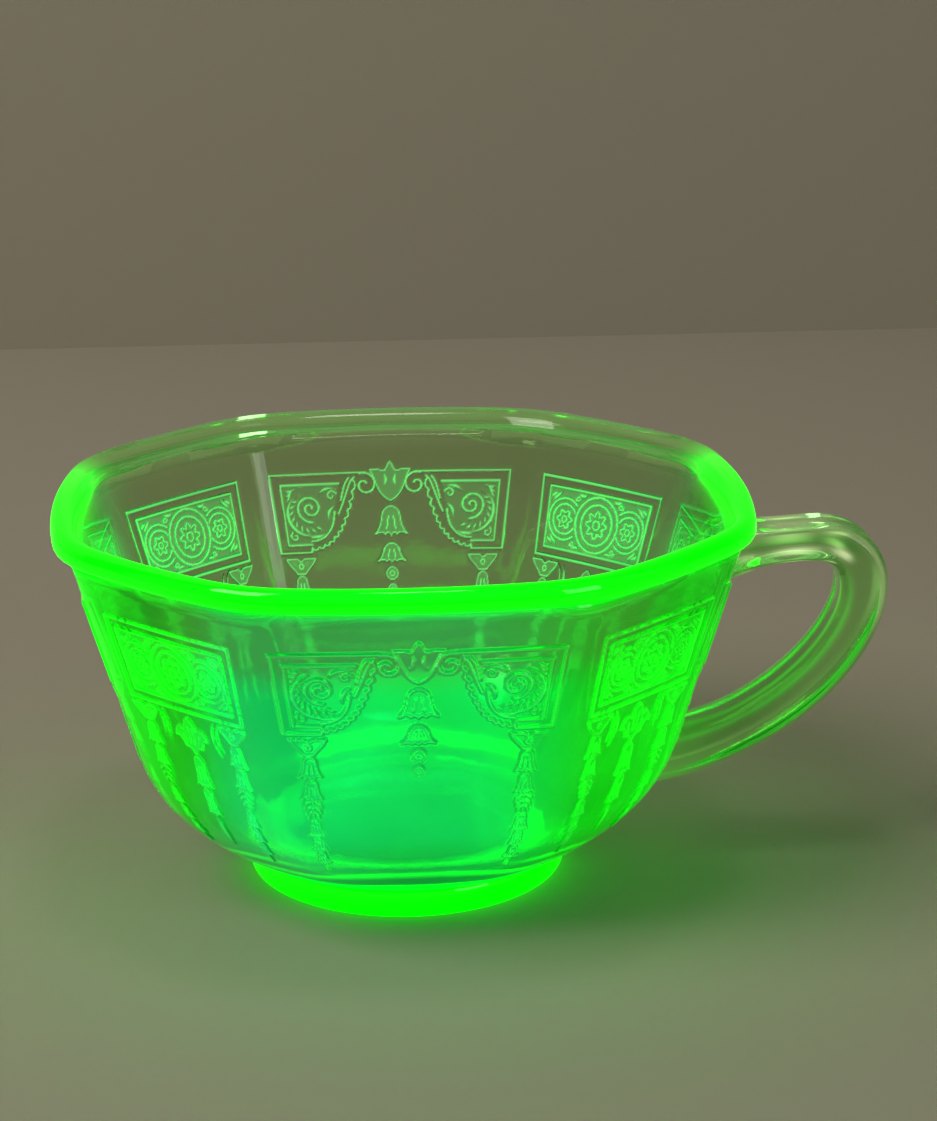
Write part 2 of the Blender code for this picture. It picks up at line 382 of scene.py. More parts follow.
def frieze(relief):
    """Double-framed field of a narrow panel with three linked circles and leaves in its corners."""
    relief.stroke([(0, 6.3), (11.3, 6.3), (11.3, 18.2), (0, 18.2)], width=0.26)
    relief.stroke([(0, 7.7), (9.8, 7.7), (9.8, 16.9), (0, 16.9)])
    relief.fill(np.array([(-0.1, 7.7), (9.8, 7.7), (9.8, 16.9), (-0.1, 16.9)]), 1.0)
    medallion(relief, (0.0, 12.3), 4.15, 8)
    side = (6.35, 12.3)
    relief.stroke(arc(side, 3.1, -132, 132, 48), width=0.22)
    relief.stroke(arc(side, 2.25, -150, 150, 40), width=0.22)
    rosette(relief, side, 1.45, 6)
    # leaves and curls above and below the middle line
    leaves = (((8.2, 3.9), (8.7, 3.3), (9.2, 3.6), (9.3, 2.7)),
              ((7.4, 4.0), (7.9, 3.5), (8.6, 3.0), (9.0, 2.4)),
              ((2.6, 4.1), (3.1, 3.7), (3.6, 3.9), (4.3, 4.1)))
    for flip in (-1, 1):
        for leaf in leaves:
            relief.tapered(bezier([(x, 12.3 + flip * y) for x, y in leaf], 8))
        relief.stroke(spiral((4.2, 12.3 + flip * 3.4), 0.5, 0.12, 0, 400, 20), width=0.18)


def narrow_panel(u, v):
    relief = Relief(np.abs(u), v)
    frieze(relief)
    # middle flower with three petals, and a long bud below it
    petal = mirrored((0, 19.2), np.vstack([
        bezier(((0, 0), (0.9, 0.3), (1.1, 1.2), (1.3, 1.9)), 8),
        bezier(((1.3, 1.9), (2.0, 1.2), (3.1, 1.6), (3.3, 3.2)), 8),
        bezier(((3.3, 3.2), (2.6, 2.7), (2.0, 3.3), (1.7, 4.6)), 6),
        bezier(((1.7, 4.6), (1.0, 4.4), (0.5, 4.8), (0, 5.6)), 6)]))
    relief.shape(petal)
    relief.tapered([(0.45, 20.6), (0.5, 21.9), (0.4, 23.2)], width=0.2)
    relief.tapered([(1.7, 21.6), (1.5, 22.4), (1.2, 23.2)], width=0.2)
    bellflower(relief, np.array((0.0, 25.2)), 3.4, 4.6)
    bellflower(relief, np.array((0.0, 30.2)), 2.9, 4.2)
    relief.tapered(bezier(((0, 34.8), (0.4, 36), (0.3, 38), (0, 40.5)), 8), width=0.55)
    relief.tapered(bezier(((5.2, 19.0), (4.4, 20.2), (4.6, 22.4), (5.6, 24.2)), 10), width=0.24)
    relief.tapered(bezier(((6.2, 19.0), (5.3, 20.4), (5.5, 21.8), (6.3, 23.4)), 10), width=0.24)
    hanging_drop(relief, 9.0, 18.9, 42.0, 3.4)
    return np.stack([relief.height, relief.field])


# ---------------------------------------------------------------- bowl

def wall_profile():
    """Apothem and height down the outer wall, and the distance covered, from the rim to the foot."""
    top = CUP_HEIGHT - RIM_BEAD_HEIGHT
    flare = np.linspace((WALL_TOP_APOTHEM, top), (WALL_BEND_APOTHEM, WALL_BEND_HEIGHT), 200)
    curve = bezier(((WALL_BEND_APOTHEM, WALL_BEND_HEIGHT), (33.6, 11.8), (28.9, 6.9),
                    (FOOT_RADIUS - 0.4, BASE_HEIGHT)), 400)
    points = np.vstack([flare, curve[1:]])
    steps = np.hypot(*np.diff(points, axis=0).T)
    return points, np.concatenate([[0], np.cumsum(steps)])


def wall_roundness(height):
    share = np.clip((height - FOOT_HEIGHT) / (WALL_BEND_HEIGHT - FOOT_HEIGHT), 0, 1)
    return WALL_ROUNDNESS + (1 - WALL_ROUNDNESS) * (1 - share) ** 2


def quarter_outline(apothem, roundness, columns, corner_radius=CORNER_RADIUS):
    """A quarter of the outline for each apothem, from the start of a broad side.

    Columns counts the cells of the broad side, of each corner and of the narrow side.
    """
    broad, corner, narrow = columns
    apothem = np.atleast_1d(apothem)[:, None]
    roundness = np.atleast_1d(roundness)[:, None]
    radius = np.minimum(corner_radius, 0.5 * apothem)
    inset = apothem - radius
    half = BROAD_HALF_SIDE * apothem - radius * math.tan(math.pi / 8)
    share = np.arange(broad)[None] / broad
    pieces = [(apothem + 0 * share, half * (2 * share - 1))]
    angle = np.arange(corner)[None] / corner * math.pi / 4
    pieces.append((inset + radius * np.cos(angle), half + radius * np.sin(angle)))
    share = np.arange(narrow)[None] / narrow
    diagonal = math.sqrt(0.5) * radius
    pieces.append((inset + diagonal + (half - inset) * share, half + diagonal + (inset - half) * share))
    angle = angle + math.pi / 4
    pieces.append((half + radius * np.cos(angle), inset + radius * np.sin(angle)))
    x = np.concatenate([p[0] for p in pieces], axis=1)
    y = np.concatenate([p[1] for p in pieces], axis=1)
    pull = 1 - roundness + roundness * apothem / np.hypot(x, y)
    return x * pull, y * pull


def full_ring(apothem, height, roundness, corner_radius=CORNER_RADIUS):
    """Points of one whole outline at the coarse columns of the grid."""
    columns = (BROAD_CELLS // COARSEST, CORNER_CELLS // COARSEST, NARROW_CELLS // COARSEST)
    x, y = quarter_outline(apothem, roundness, columns, corner_radius)
    return all_quarters(x[0], y[0], np.full(x.shape[1], height))


def all_quarters(x, y, z):
    """The first quarter's points, followed by the same points turned to the other three quarters."""
    return np.vstack([np.column_stack([x * cosine - y * sine, x * sine + y * cosine, z])
                      for cosine, sine in QUARTER_TURNS])


def panel_relief(x, y, distance):
    """Relief height and field over one quarter of the wall, rows down it and columns around it.

    The ornament of each panel runs on into the nearer half of the corners beside it.
    """
    closing = np.hypot(-y[:, :1] - x[:, -1:], x[:, :1] - y[:, -1:])
    steps = np.hypot(np.diff(x, axis=1), np.diff(y, axis=1))
    along = np.concatenate([0 * closing, np.cumsum(steps, axis=1)], axis=1)
    whole = along[:, -1:] + closing
    middle = along[:, BROAD_CELLS // 2, None]
    narrow_start = BROAD_CELLS + CORNER_CELLS
    narrow_middle = along[:, narrow_start + NARROW_CELLS // 2, None]
    narrow_half = narrow_middle - along[:, narrow_start, None]
    v = np.broadcast_to(distance[:, None], x.shape)
    first = BROAD_CELLS + CORNER_CELLS // 2
    last = narrow_start + NARROW_CELLS + CORNER_CELLS // 2
    broad = np.concatenate([along[:, :first] - middle, along[:, last:] - whole - middle], axis=1)
    broad *= BROAD_HALF_WIDTH / middle
    broad_v = np.concatenate([v[:, :first], v[:, last:]], axis=1)
    broad_relief = broad_panel(broad, broad_v)
    narrow = (along[:, first:last] - narrow_middle) * NARROW_HALF_WIDTH / narrow_half
    narrow_relief = narrow_panel(narrow, v[:, first:last])
    return np.concatenate([broad_relief[..., :first], narrow_relief, broad_relief[..., first:]], axis=2)


def outer_quarter():
    """Points of the ornamented outer wall over one quarter, with relief height, slope and field."""
    profile, covered = wall_profile()
    distance = np.linspace(0, covered[-1], DOWN_CELLS + 1)
    apothem = np.interp(distance, covered, profile[:, 0])
    level = np.interp(distance, covered, profile[:, 1])
    x, y = quarter_outline(apothem, wall_roundness(level), (BROAD_CELLS, CORNER_CELLS, NARROW_CELLS))
    z = np.broadcast_to(level[:, None], x.shape)
    points = np.stack([x, y, z], axis=-1)
    # the next quarter's first column closes the differences round the cup
    following = np.stack([-y[:, :1], x[:, :1], z[:, :1]], axis=-1)
    before = np.stack([y[:, -1:], -x[:, -1:], z[:, -1:]], axis=-1)
    wide = np.concatenate([before, points, following], axis=1)
    around = wide[:, 2:] - wide[:, :-2]
    down = np.gradient(points, axis=0)
    normal = np.cross(down, around)
    normal /= np.linalg.norm(normal, axis=-1, keepdims=True)
    height, field = panel_relief(x, y, distance)
    spacing = np.linalg.norm(around, axis=-1) / 2
    slope = np.hypot(np.gradient(height, distance, axis=0), np.gradient(height, axis=1) / spacing)
    return points + normal * height[..., None], height, slope, field


def cell_sizes(height):
    """Leaf size of every finest cell: small where the relief bends, large where it is smooth."""
    rows, columns = height.shape[0] - 1, height.shape[1]
    wrapped = np.concatenate([height, height[:, :1]], axis=1)
    bend = np.zeros(wrapped.shape, dtype=bool)
    bend[1:-1] |= np.abs(wrapped[2:] - 2 * wrapped[1:-1] + wrapped[:-2]) > RELIEF_TOLERANCE
    bend[:, 1:-1] |= np.abs(wrapped[:, 2:] - 2 * wrapped[:, 1:-1] + wrapped[:, :-2]) > RELIEF_TOLERANCE
    split = bend[:-1, :-1] | bend[1:, :-1] | bend[:-1, 1:] | bend[1:, 1:]
    sizes = np.ones((rows, columns), dtype=int)
    size = 2
    while size <= COARSEST:
        blocks = split.reshape(rows // size, split.shape[0] // (rows // size),
                               columns // size, split.shape[1] // (columns // size)).any(axis=(1, 3))
        whole = np.repeat(np.repeat(~blocks, size, axis=0), size, axis=1)
        sizes[whole] = size
        # a block next to a split one splits at the next size, so that neighbours differ by one step
        grown = blocks.copy()
        grown[1:] |= blocks[:-1]
        grown[:-1] |= blocks[1:]
        grown |= np.roll(blocks, 1, axis=1) | np.roll(blocks, -1, axis=1)
        split = grown
        size *= 2
    return sizes


def relief_faces(sizes):
    """Faces of one quarter as lists of (row, column) grid points, with in-between points on seams."""
    rows, columns = sizes.shape
    used = np.zeros((rows + 1, columns + 1), dtype=bool)
    leaves = []
    for size in CELL_SIZES:
        corner_rows, corner_columns = np.nonzero(sizes[::size, ::size] == size)
        for r, c in zip((corner_rows * size).tolist(), (corner_columns * size).tolist()):
            leaves.append((r, c, size))
            used[r, c] = used[r + size, c] = used[r, c + size] = used[r + size, c + size] = True
    used[:, 0] |= used[:, columns]
    used[:, columns] |= used[:, 0]
    faces = []
    for r, c, size in leaves:
        face = [(r, c)]
        half = size // 2
        if half and used[r + half, c]:
            face.append((r + half, c))
        face.append((r + size, c))
        if half and used[r + size, c + half]:
            face.append((r + size, c + half))
        face.append((r + size, c + size))
        if half and used[r + half, c + size]:
            face.append((r + half, c + size))
        face.append((r, c + size))
        if half and used[r, c + half]:
            face.append((r, c + half))
        faces.append(face)
    return faces, used


def rim_bead():
    """Section of the rim bead, from its underside outside over the top to the inner wall."""
    low = CUP_HEIGHT - RIM_BEAD_HEIGHT
    outer = bezier(((WALL_TOP_APOTHEM + 0.5, low + 0.02), (RIM_APOTHEM + 0.1, low),
                    (RIM_APOTHEM + 0.1, low + 1.0), (RIM_APOTHEM, low + 1.5)), 6)
    top = bezier(((RIM_APOTHEM, low + 1.5), (RIM_APOTHEM - 0.05, CUP_HEIGHT + 0.7),
                  (EDGE_APOTHEM + 1.3, CUP_HEIGHT + 0.9), (EDGE_APOTHEM, low)), 18)
    return np.vstack([outer, top[1:-1]])


def inner_wall():
    """Section of the inner wall, from the rim bead down to the floor and in towards its middle."""
    top = CUP_HEIGHT - RIM_BEAD_HEIGHT
    flare = np.linspace((EDGE_APOTHEM, top),
                        (WALL_BEND_APOTHEM - WALL_THICKNESS, WALL_BEND_HEIGHT), 12)
    curve = bezier(((WALL_BEND_APOTHEM - WALL_THICKNESS, WALL_BEND_HEIGHT), (31.8, 13.4),
                    (27.4, FLOOR_TOP + 1.4), (FLOOR_RADIUS, FLOOR_TOP)), 16)
    floor = [(FLOOR_RADIUS * share, FLOOR_TOP - FLOOR_DIP * (1 - share)) for share in (0.75, 0.5, 0.25)]
    return np.vstack([flare, curve[1:], floor])


class Skin:
    """Points and faces of one closed surface while it is put together from loops of points."""

    def __init__(self):
        self.points = []
        self.faces = []
        self.count = 0

    def add(self, points):
        """Adds points and gives back their numbers."""
        self.points.append(points)
        self.count += len(points)
        return list(range(self.count - len(points), self.count))

    def bridge(self, low, high):
        for i in range(len(low)):
            j = (i + 1) % len(low)
            self.faces.append([low[i], low[j], high[j], high[i]])

    def fan(self, loop, middle):
        for i in range(len(loop)):
            self.faces.append([loop[i], loop[(i + 1) % len(loop)], middle])


def add_ornamented_wall(skin):
    """Adds the outer wall; gives back the loops along its two edges, and its marks for the glow."""
    points, height, slope, field = outer_quarter()
    faces, used = relief_faces(cell_sizes(height))
    columns = points.shape[1]
    where = np.nonzero(used[:, :columns])
    number = np.full(used.shape, -1, dtype=np.int64)
    count = len(where[0])
    number[where] = np.arange(count)
    skin.add(all_quarters(*points[where].T))
    for turn in range(4):
        here, following = turn * count, (turn + 1) % 4 * count
        for face in faces:
            skin.faces.append([here + number[r, c] if c < columns else following + number[r, 0]
                               for r, c in face])
    # both edges are joined on at the coarse columns only
    coarse = range(0, columns, COARSEST)
    top_loop = [turn * count + number[0, c] for turn in range(4) for c in coarse]
    bottom_loop = [turn * count + number[DOWN_CELLS, c] for turn in range(4) for c in coarse]
    marks = [np.tile(grid[where], 4) for grid in (height / RAISE, slope, field)]
    return top_loop, bottom_loop, marks


def make_bowl():
    skin = Skin()
    top_loop, bottom_loop, marks = add_ornamented_wall(skin)
    wall_count = skin.count
    rings = [full_ring(a, z, RIM_ROUNDNESS, RIM_CORNER_RADIUS) for a, z in rim_bead()]
    rings += [full_ring(a, z, wall_roundness(z)) for a, z in inner_wall()]
    low = top_loop
    for ring in rings:
        high = skin.add(ring)
        skin.bridge(low, high)
        low = high
    skin.fan(low, skin.add(np.array([(0, 0, FLOOR_TOP - FLOOR_DIP)]))[0])
    # flat underside, with two rings between the wall's foot and the middle
    low = bottom_loop
    for share in (0.8, 0.4):
        high = skin.add(full_ring((FOOT_RADIUS - 0.4) * share, BASE_HEIGHT, 1.0))
        skin.bridge(high, low)
        low = high
    skin.fan(low[::-1], skin.add(np.array([(0, 0, BASE_HEIGHT)]))[0])
    coords = np.vstack(skin.points)
    mesh = bpy.data.meshes.new("glass_bowl")
    mesh.from_pydata(((coords + (AXIS_X, 0, 0)) * MM).tolist(), [], skin.faces)
    mesh.shade_smooth()
    mark_bowl(mesh, coords, marks, wall_count)
    return link_piece(mesh)


def mark_bowl(mesh, coords, marks, wall_count):
    """Stores how each point glows. The wall's own points come first, with a mark for each."""
    normals = np.empty(3 * len(coords))
    mesh.vertex_normals.foreach_get("vector", normals)
    normals = normals.reshape(-1, 3)
    crest, slope, field = [np.concatenate([mark, np.zeros(len(coords) - len(mark))]) for mark in marks]
    x, y, z = coords.T
    store(mesh, "glow", bowl_glow(coords, normals, crest, slope, field))
    # painted highlights: pale light on the crests of the relief, stronger towards the back, and a faint
    # line along the upper rim at the back
    crest_highlights = 0.13 * smooth(crest, *CREST_SHARES) * (0.25 + 0.75 * smooth(y, -14, 34))
    store(mesh, "painted_highlight", crest_highlights + 0.05 * smooth(z, *RIM_HIGHLIGHT_LEVELS) * smooth(y, 4, 26))
    bend = (z < INSIDE_BEND_TOP) & (np.hypot(x, y) > 21) & (normals[:, 2] > 0.2)
    teal = np.maximum(smooth(x, -31, -22) * (1 - smooth(x, 4, 25)), smooth(y, 4, 24))
    store(mesh, "teal", teal * (1 - bend) * (z < 50))
    inner = np.arange(len(coords)) >= wall_count
    store(mesh, "one_sided", 1.0 * inner * (z < 50) * (z > 6))
    # the tint is painted by the glow: green where the painted glow is strong at the front, clear towards
    # the back and, partly, in the band of dimmer glow on the front and back panels
    band = smooth(z, *DIM_GLOW_BAND_LEVELS) * (1 - smooth(z, 50, 51)) * (1 - smooth(np.abs(x), 26, 36))
    store(mesh, "clear", np.maximum(smooth(y, -16, 30), 0.55 * band))


def smooth(value, start, end):
    """A soft step from 0 at start to 1 at end."""
    share = np.clip((value - start) / (end - start), 0, 1)
    return share * share * (3 - 2 * share)


def store(mesh, name, values):
    attribute = mesh.attributes.new(name, 'FLOAT', 'POINT')
    attribute.data.foreach_set("value", np.asarray(values, dtype=np.float32))


def bowl_glow(coords, normals, crest, slope, field):
    """How strongly each point of the surface is painted to glow, as if an ultraviolet lamp stood in front
    of the cup.

    Crest, slope and field are 0 away from the relief. Its crests get painted highlights, its stippled
    fields a brighter painted glow, and the sides of its lines painted shade.
    """
    x, y, z = coords.T
    radius = np.hypot(x, y)
    # parts of the bowl as seen from the front, each with soft edges
    front = 1 - smooth(y, -14, 34)
    left = smooth(-x, 14, 34) * (1 - smooth(y, 6, 40))
    right = smooth(x, 16, 36) * (1 - smooth(y, 6, 40))
    far_left = smooth(-x, 37, 44) * (1 - smooth(y, 6, 40))
    far_right = smooth(x, 36, 43) * (1 - smooth(y, 0, 36))
    # outer wall: plain ground, stippled fields, painted shade on the slopes of the lines and painted
    # highlights on their crests
    facing = normals @ np.array(LAMP_DIRECTION)
    dim_band = smooth(z, *DIM_GLOW_BAND_LEVELS) * (1 - 0.3 * far_left)
    low = 1 - 0.6 * (1 - smooth(z, 7, 18)) * front
    ground = 0.03 + 0.28 * front + 0.05 * right - 0.10 * left + 0.42 * far_left + 0.14 * far_right
    flowers = 1 + 0.6 * (1 - smooth(z, 30, 36))
    raised = field * (0.03 * front + 0.22 * flowers * left + 0.14 * flowers * right)
    wall = (ground * low * (1 - 0.55 * dim_band) + raised) * (0.75 + 0.30 * facing)
    # painted shade: the sloping sides of the relief lines glow less
    wall = np.clip(wall, 0, 1.5) * (1 - (0.65 - 0.2 * front) * np.clip(slope / 1.2, 0, 1))
    wall += 0.15 * field * (1 - front)
    # painted highlights: the crests of the relief glow more, above all at the back and the sides
    wall += smooth(crest, *CREST_SHARES) * (0.50 - 0.42 * front + 0.22 * left + 0.18 * right)
    # inside: a weak painted glow on the wall, an even floor and a bright painted arc where the floor
    # bends up at the back
    outward = (normals[:, 0] * x + normals[:, 1] * y) / np.maximum(radius, 1)
    wall = np.where(outward < -0.2, wall * 0.1, wall)
    bend = np.exp(-((radius - FLOOR_EDGE_RADIUS) / 0.9) ** 2) * smooth(y, 4, 18)
    floor = 0.12 + 0.16 * smooth(y, -18, 8)
    sides = 1 - 0.85 * smooth(np.abs(x - 2), 13, 22)
    inside = (normals[:, 2] > 0.2) & (z < INSIDE_BEND_TOP)
    wall = np.where(inside, (floor + 0.95 * bend) * sides, wall)
    # the rim glows most at the front and hardly at all at the back
    rim = smooth(z, *RIM_LEVELS)
    return np.clip(wall * (1 - rim) + rim * (0.02 + 1.3 * (1 - smooth(y, 0, 24))), 0, 1.5)


def link_piece(mesh):
    piece = bpy.data.objects.new(mesh.name, mesh)
    bpy.context.scene.collection.objects.link(piece)
    return piece


def loft(name, rings, closed=False):
    bm = bmesh.new()
    loops = [[bm.verts.new(Vector((AXIS_X + p[0], p[1], p[2])) * MM) for p in ring] for ring in rings]
    pairs = list(zip(loops, loops[1:]))
    if closed:
        pairs.append((loops[-1], loops[0]))
    else:
        bm.faces.new(loops[0])
        bm.faces.new(loops[-1])
    for low, high in pairs:
        for i in range(len(low)):
            j = (i + 1) % len(low)
            bm.faces.new((low[i], low[j], high[j], high[i]))
    bmesh.ops.recalc_face_normals(bm, faces=bm.faces)
    mesh = bpy.data.meshes.new(name)
    bm.to_mesh(mesh)
    bm.free()
    mesh.shade_smooth()
    return link_piece(mesh)


# ---------------------------------------------------------------- foot ring

FOOT_SEGMENTS = 192


def make_foot():
    inner = FOOT_RADIUS - 4.9
    section = np.vstack([
        [(FOOT_RADIUS - 0.2, BASE_HEIGHT + 0.3), (FOOT_RADIUS, FOOT_HEIGHT - 0.5)],
        bezier(((FOOT_RADIUS, 2.6), (FOOT_RADIUS - 0.1, 0.6), (FOOT_RADIUS - 0.5, 0), (21.0, 0)), 10),
        bezier(((18.4, 0), (inner + 0.3, 0), (inner, 0.6), (inner, 2.6)), 10),
        [(inner - 0.3, BASE_HEIGHT + 0.3)]])
    angles = 2 * math.pi * np.arange(FOOT_SEGMENTS) / FOOT_SEGMENTS
    rings = [np.column_stack([r * np.cos(angles), r * np.sin(angles), np.full(FOOT_SEGMENTS, z)])
             for r, z in section]
    foot = loft("glass_foot", rings, closed=True)
    outer = np.repeat([float(r > FOOT_RADIUS - 1.2) for r, z in section], FOOT_SEGMENTS)
    front = 1 - smooth(np.concatenate([ring[:, 1] for ring in rings]), -4, 12)
    store(foot.data, "glow", outer * (0.2 + 0.8 * front))
    store(foot.data, "one_sided", np.ones(len(outer)))
    return foot


# ---------------------------------------------------------------- handle

BEND_THICKNESS = 6.8
BEND_CENTRE = HANDLE_REACH - BEND_THICKNESS / 2
HANDLE_CURVES = (
    ((42.5, 43.6), (47.0, 44.9), (52.0, 45.6), (57.0, 45.6)),
    ((57.0, 45.6), (61.4, 45.6), (BEND_CENTRE, 43.0), (BEND_CENTRE, 39.0)),
    ((BEND_CENTRE, 39.0), (BEND_CENTRE, 30.0), (51.2, 16.7), (34.5, 14.9)),
)
HANDLE_STEPS = (24, 28, 64)
THICKNESS_STOPS = ((0.0, 7.4), (0.17, 4.7), (0.38, BEND_THICKNESS), (0.8, 6.9), (1.0, 8.0))
SECTION_POINTS = 64


def handle_thickness(share):
    for (a, thick_a), (b, thick_b) in zip(THICKNESS_STOPS, THICKNESS_STOPS[1:]):
        if share <= b:
            blend = 0.5 - 0.5 * math.cos(math.pi * (share - a) / (b - a))
            return thick_a + (thick_b - thick_a) * blend
    return THICKNESS_STOPS[-1][1]


def handle_section(half_width, half_thick):
    """A soft octagon: flat outer and inner faces, flat sides and bevels that meet in ridges."""
    angle = 2 * math.pi * np.arange(SECTION_POINTS) / SECTION_POINTS
    side, out = np.cos(angle), np.sin(angle)
    radius = (face_reaches(side, out, half_width, half_thick) ** 26).sum(axis=0) ** (-1 / 26)
    return radius * side, radius * out


def face_reaches(side, out, half_width, half_thick):
    """How far a point lies towards each of the eight faces, as a share of the face's distance."""
    bevel = 0.80 * math.hypot(half_width, half_thick)
    shares = []
    for sign_side, sign_out in ((1, 0), (1, 1), (0, 1), (-1, 1), (-1, 0), (-1, -1), (0, -1), (1, -1)):
        if sign_side and sign_out:
            length = math.hypot(half_width, half_thick)
            dot = (side * sign_side * half_thick + out * sign_out * half_width) / length
            shares.append(np.clip(dot, 0, None) / bevel)
        elif sign_side:
            shares.append(np.clip(side * sign_side, 0, None) / half_width)
        else:
            shares.append(np.clip(out * sign_out, 0, None) / half_thick)
    return np.array(shares)


def mark_handle(mesh, points, normals, halves):
    """Glow of the handle: faint, with brighter lines where its faces meet, and a painted highlight, a
    painted reflection of the room and a band of painted shade on the upper arm.
    """
    coords = np.empty(3 * len(mesh.vertices))
    mesh.vertices.foreach_get("co", coords)
    coords = coords.reshape(-1, 3) / MM - (AXIS_X, 0, 0)
    gaps = np.hypot(coords[:, None, 0] - points[None, :, 0], coords[:, None, 2] - points[None, :, 1])
    nearest = gaps.argmin(axis=1)
    offset = coords[:, (0, 2)] - points[nearest]
    out = (offset * normals[nearest]).sum(axis=1)
    share = nearest / (len(points) - 1)
    ridge = np.zeros(len(coords))
    for i, half in enumerate(halves):
        chosen = nearest == i
        if chosen.any():
            reach = np.sort(face_reaches(coords[chosen, 1], out[chosen], HANDLE_WIDTH / 2, half), axis=0)
            ridge[chosen] = np.clip(1 - (reach[-1] - reach[-2]) / 0.10, 0, 1)
    near_bowl = np.maximum(smooth(share, 0.84, 1.0), 1 - smooth(share, 0.0, 0.12))
    inner_side = 0.25 + 0.75 * smooth(-out, -1.0, 1.5)
    lines = 0.06 + 0.18 * smooth(share, 0.3, 0.6) - 0.12 * smooth(share, 0.7, 0.95)
    store(mesh, "glow", 0.02 + ridge * inner_side * lines + 0.03 * near_bowl)
    # painted reflection: the bright room shows as a broken streak along the sides of the upper arm, with
    # painted shade, a darker green tint, in a band above it
    upper_arm = smooth(share, 0.03, 0.08) * (1 - smooth(share, 0.30, 0.36))
    room_reflection = np.exp(-((out + 0.6) / 0.5) ** 2) * upper_arm * (0.6 + 0.4 * np.sin(48 * share))
    # painted highlight: a thin pale line along the outer edge of the upper arm and the bend
    edge = np.exp(-((out - 2.4) / 0.35) ** 2) * (1 - smooth(share, 0.45, 0.6))
    store(mesh, "painted_highlight", 0.9 * room_reflection + 0.25 * edge)
    # painted shade: the tint turns darker green in this band
    painted_shade = np.exp(-((out - 0.8) / 0.6) ** 2) * upper_arm
    store(mesh, "clear", 1 - 0.6 * painted_shade)


def make_handle():
    points = [p for curve, steps in zip(HANDLE_CURVES, HANDLE_STEPS) for p in bezier(curve, steps)[:-1]]
    points = np.array(points + [HANDLE_CURVES[-1][-1]])
    covered = np.concatenate([[0], np.cumsum(np.hypot(*np.diff(points, axis=0).T))])
    shares = covered / covered[-1]
    tangent = np.gradient(points, axis=0)
    tangent /= np.linalg.norm(tangent, axis=1)[:, None]
    rings = []
    for (x, z), (tx, tz), share in zip(points, tangent, shares):
        side, out = handle_section(HANDLE_WIDTH / 2, handle_thickness(share) / 2)
        rings.append(np.column_stack([x - tz * out, side, z + tx * out]))
    handle = loft("glass_handle", rings)
    profile, _ = wall_profile()
    cut = [full_ring(a - 0.6, z, wall_roundness(z)) for a, z in profile[::-24]]
    cut.append(full_ring(WALL_TOP_APOTHEM - 0.6, CUP_HEIGHT + 4, WALL_ROUNDNESS))
    cutter = loft("wall_cutter", cut)
    trim = handle.modifiers.new("trim_to_wall", 'BOOLEAN')
    trim.operation = 'DIFFERENCE'
    trim.object = cutter
    trimmed = bpy.data.meshes.new_from_object(handle.evaluated_get(bpy.context.evaluated_depsgraph_get()))
    handle.modifiers.clear()
    handle.data = trimmed
    trimmed.name = "glass_handle"
    trimmed.shade_smooth()
    trimmed.set_sharp_from_angle(angle=math.radians(50))
    across = np.column_stack([-tangent[:, 1], tangent[:, 0]])
    halves = [handle_thickness(share) / 2 for share in shares]
    mark_handle(trimmed, points, across, halves)
    bpy.data.objects.remove(cutter, do_unlink=True)
    return handle


# ---------------------------------------------------------------- material

GLASS_SURFACE = (
    ("Transmission Weight", 1.0),
    ("IOR", 1.5),
    ("Roughness", 0.06),
    ("Specular IOR Level", 0.35),
    ("Coat Weight", 0.15),
    ("Coat Roughness", 0.02),
    ("Emission Strength", 1.0),
)
ABSORPTION_COLOUR = (0.0, 0.97, 0.05)
# pale colour of the painted highlights and painted reflections
HIGHLIGHT_COLOUR = (0.50, 0.54, 0.32)
TABLE_PAINT = (0.50, 0.46, 0.38)
WALL_PAINT = (0.44, 0.405, 0.33)
GREEN_TINT = (0.005, 0.85, 0.01)
TEAL_TINT = (0.005, 0.85, 0.25)
GREEN_GLOW = (
    (0.0, (0.0, 0.0, 0.0)),
    (0.45, (0.0, 0.45, 0.006)),
    (0.75, (0.0, 0.85, 0.0)),
    (1.0, (0.0, 1.15, 0.0)),
)
TEAL_GLOW = (
    (0.0, (0.0, 0.0, 0.0)),
    (0.45, (0.0, 0.42, 0.12)),
    (0.75, (0.0, 0.80, 0.12)),
    (1.0, (0.0, 1.15, 0.0)),
)


def node(tree, kind, **values):
    made = tree.nodes.new(kind)
    for key, value in values.items():
        if key in made.inputs:
            made.inputs[key].default_value = value
        else:
            setattr(made, key, value)
    return made


def mapped(tree, value, start, end, low, high):
    """A smooth change of a value from low at start to high at end."""
    step = node(tree, 'ShaderNodeMapRange', interpolation_type='SMOOTHSTEP')
    for key, number in (("From Min", start), ("From Max", end), ("To Min", low), ("To Max", high)):
        step.inputs[key].default_value = number
    tree.links.new(value, step.inputs["Value"])
    return step.outputs["Result"]


def product(tree, first, second):
    made = node(tree, 'ShaderNodeMath', operation='MULTIPLY')
    tree.links.new(first, made.inputs[0])
    tree.links.new(second, made.inputs[1])
    return made.outputs[0]


def attribute(tree, name):
    return node(tree, 'ShaderNodeAttribute', attribute_name=name).outputs["Fac"]


def mixed(tree, factor, first, second, blend='MIX'):
    """A mix of two colours, each a socket or fixed numbers."""
    mix = node(tree, 'ShaderNodeMix', data_type='RGBA', blend_type=blend)
    tree.links.new(factor, mix.inputs["Factor"])
    for slot, colour in ((6, first), (7, second)):
        if isinstance(colour, tuple):
            mix.inputs[slot].default_value = (*colour, 1.0)
        else:
            tree.links.new(colour, mix.inputs[slot])
    return mix.outputs[2]


def colour_steps(tree, value, stops):
    ramp = node(tree, 'ShaderNodeValToRGB')
    elements = ramp.color_ramp.elements
    while len(elements) < len(stops):
        elements.new(0.5)
    for element, (place, colour) in zip(elements, stops):
        element.position = place
        element.color = (*colour, 1.0)
    tree.links.new(value, ramp.inputs["Fac"])
    return ramp.outputs["Color"]


